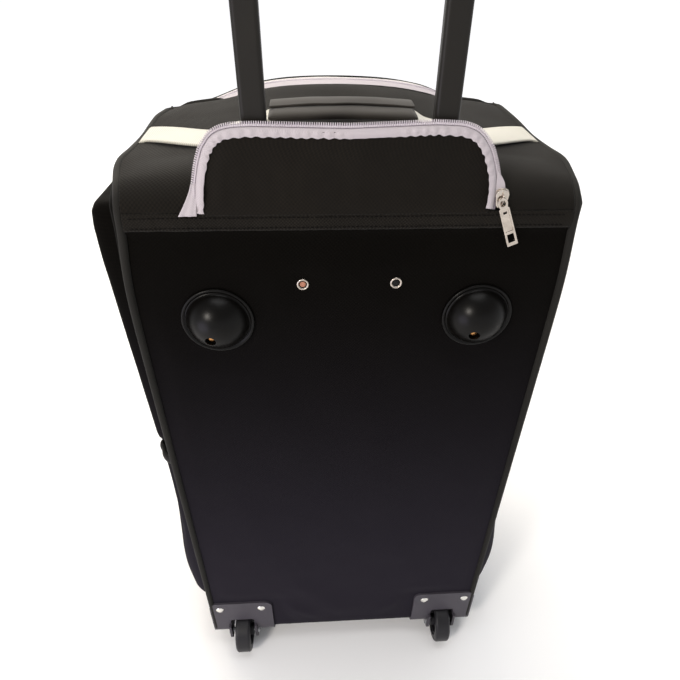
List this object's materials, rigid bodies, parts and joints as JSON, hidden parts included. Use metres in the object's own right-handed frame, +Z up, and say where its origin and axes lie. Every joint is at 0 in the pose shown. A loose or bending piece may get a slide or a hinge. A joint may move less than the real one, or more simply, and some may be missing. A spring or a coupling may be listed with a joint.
{
  "type": "rolling bowling bag",
  "caption": "Upright soft wheeled bag for bowling balls with a pull-out trolley handle, stow flap, domed rear bumpers, side pouches and a zipped front cover",
  "frame": {"origin": "on the floor, at the middle of the bag's footprint", "axes": "+Z up, -Y the back with the trolley and wheels, +Y the front cover, +X to the right seen from behind"},
  "size_m": [0.422, 0.359, 1.037],
  "materials": {
    "polyester": "woven",
    "gusset": "woven",
    "zip_tape": "woven",
    "webbing": "ribbed",
    "wrap": "padded",
    "lining": "woven",
    "foam": "matt",
    "board": "matt",
    "moulding": "satin",
    "corner_plastic": "grained",
    "tyre": "matt",
    "hub": "satin",
    "steel": "plated",
    "nickel": "polished",
    "brass": "plain",
    "bumper": "glossy",
    "outer_tube": "satin",
    "inner_tube": "satin",
    "grip": "soft",
    "button": "satin"
  },
  "bodies": {
    "bag": {"back_panel": "polyester", "bottom_panel": "polyester", "top_panel": "polyester", "side_panel_left": "polyester", "side_panel_right": "polyester", "front_sill": "polyester", "side_pocket_upper_left": "polyester", "side_pouch_left": "polyester", "side_pouch_right": "polyester", "main_zip_body_half": "zip_tape", "stow_mouth_zip": "zip_tape", "top_webbing": "webbing", "stow_well": "lining", "lining_panel": "lining", "ball_cradle_lower": "foam", "ball_cradle_middle": "foam", "ball_cradle_upper": "foam", "back_board": "board", "base_board": "board", "tube_bezel": "moulding", "tube_bracket": "moulding", "front_feet": "moulding", "corner_plate_left": "corner_plastic", "corner_plate_right": "corner_plastic", "wheel_axles": "steel", "foot_screws": "steel", "plate_rivets": "nickel", "back_eyelets": "nickel", "stow_slider": "nickel", "bumper_screws": "brass", "bumper_left": "bumper", "bumper_right": "bumper", "outer_tube_left": "outer_tube", "outer_tube_right": "outer_tube"},
    "trolley": {"inner_tube_left": "inner_tube", "inner_tube_right": "inner_tube", "inner_tube_feet": "moulding", "trolley_grip": "grip", "button_spring": "steel"},
    "button": {"grip_button": "button"},
    "wheel_left": {"wheel_tyre_left": "tyre", "wheel_hub_left": "hub"},
    "wheel_right": {"wheel_tyre_right": "tyre", "wheel_hub_right": "hub"},
    "flap": {"stow_flap": "polyester", "stow_flap_zip": "zip_tape"},
    "flap_pull": {"stow_pull": "nickel"},
    "cover": {"cover_face": "polyester", "cover_gusset": "gusset", "front_pocket": "polyester", "main_zip_cover_half": "zip_tape", "cover_pocket_zip": "zip_tape"},
    "pocket_slider": {"cover_slider": "nickel"},
    "pocket_pull": {"cover_pull": "nickel"},
    "zip_slider_left": {"main_slider_left": "nickel"},
    "zip_slider_right": {"main_slider_right": "nickel"},
    "zip_pull_left": {"main_pull_left": "nickel"},
    "zip_pull_right": {"main_pull_right": "nickel"},
    "carry_handle": {"handle_wrap": "wrap", "handle_loop": "webbing"}
  },
  "joints": [
    {"name": "trolley_slide", "type": "slide", "parent": "bag", "child": "trolley", "axis": [0, 0, 1], "range_m": [-0.39, 0]},
    {"name": "button_press", "type": "slide", "parent": "trolley", "child": "button", "axis": [0, 0, -1], "range_m": [0, 0.004], "stiffness_N_per_m": 300, "springref_m": -0.002, "deforming": ["button_spring"]},
    {"name": "wheel_left_spin", "type": "hinge", "parent": "bag", "child": "wheel_left", "pos_m": [-0.1395, -0.1495, 0.03], "axis": [1, 0, 0], "continuous": true},
    {"name": "wheel_right_spin", "type": "hinge", "parent": "bag", "child": "wheel_right", "pos_m": [0.1395, -0.1495, 0.03], "axis": [1, 0, 0], "continuous": true},
    {"name": "stow_flap_fold", "type": "hinge", "parent": "bag", "child": "flap", "pos_m": [0, -0.1515, 0.6455], "axis": [1, 0, 0], "range_deg": [0, 150]},
    {"name": "flap_pull_swing", "type": "hinge", "parent": "bag", "child": "flap_pull", "pos_m": [0.115, -0.1552, 0.656], "axis": [-0.9613, 0, -0.2756], "range_deg": [0, 150]},
    {"name": "cover_fold", "type": "hinge", "parent": "bag", "child": "cover", "pos_m": [0, 0.1615, 0.06975], "axis": [-1, 0, 0], "range_deg": [0, 85]},
    {"name": "zip_slide_left", "type": "slide", "parent": "bag", "child": "zip_slider_left", "axis": [0, 0, 1], "range_m": [-0.32, 0.2]},
    {"name": "zip_slide_right", "type": "slide", "parent": "bag", "child": "zip_slider_right", "axis": [0, 0, 1], "range_m": [-0.32, 0.2]},
    {"name": "zip_pull_left_swing", "type": "hinge", "parent": "zip_slider_left", "child": "zip_pull_left", "pos_m": [-0.1855, 0.1275, 0.4275], "axis": [0, 1, 0], "range_deg": [0, 170]},
    {"name": "zip_pull_right_swing", "type": "hinge", "parent": "zip_slider_right", "child": "zip_pull_right", "pos_m": [0.1855, 0.1275, 0.4275], "axis": [0, -1, 0], "range_deg": [0, 170]},
    {"name": "pocket_zip_slide", "type": "slide", "parent": "cover", "child": "pocket_slider", "axis": [1, 0, 0], "range_m": [-0.208, 0]},
    {"name": "pocket_pull_swing", "type": "hinge", "parent": "pocket_slider", "child": "pocket_pull", "pos_m": [0.104, 0.1696, 0.569], "axis": [1, 0, 0], "range_deg": [0, 170]},
    {"name": "carry_handle_lift", "type": "slide", "parent": "bag", "child": "carry_handle", "axis": [0, 0, 1], "range_m": [0, 0.035]}
  ]
}
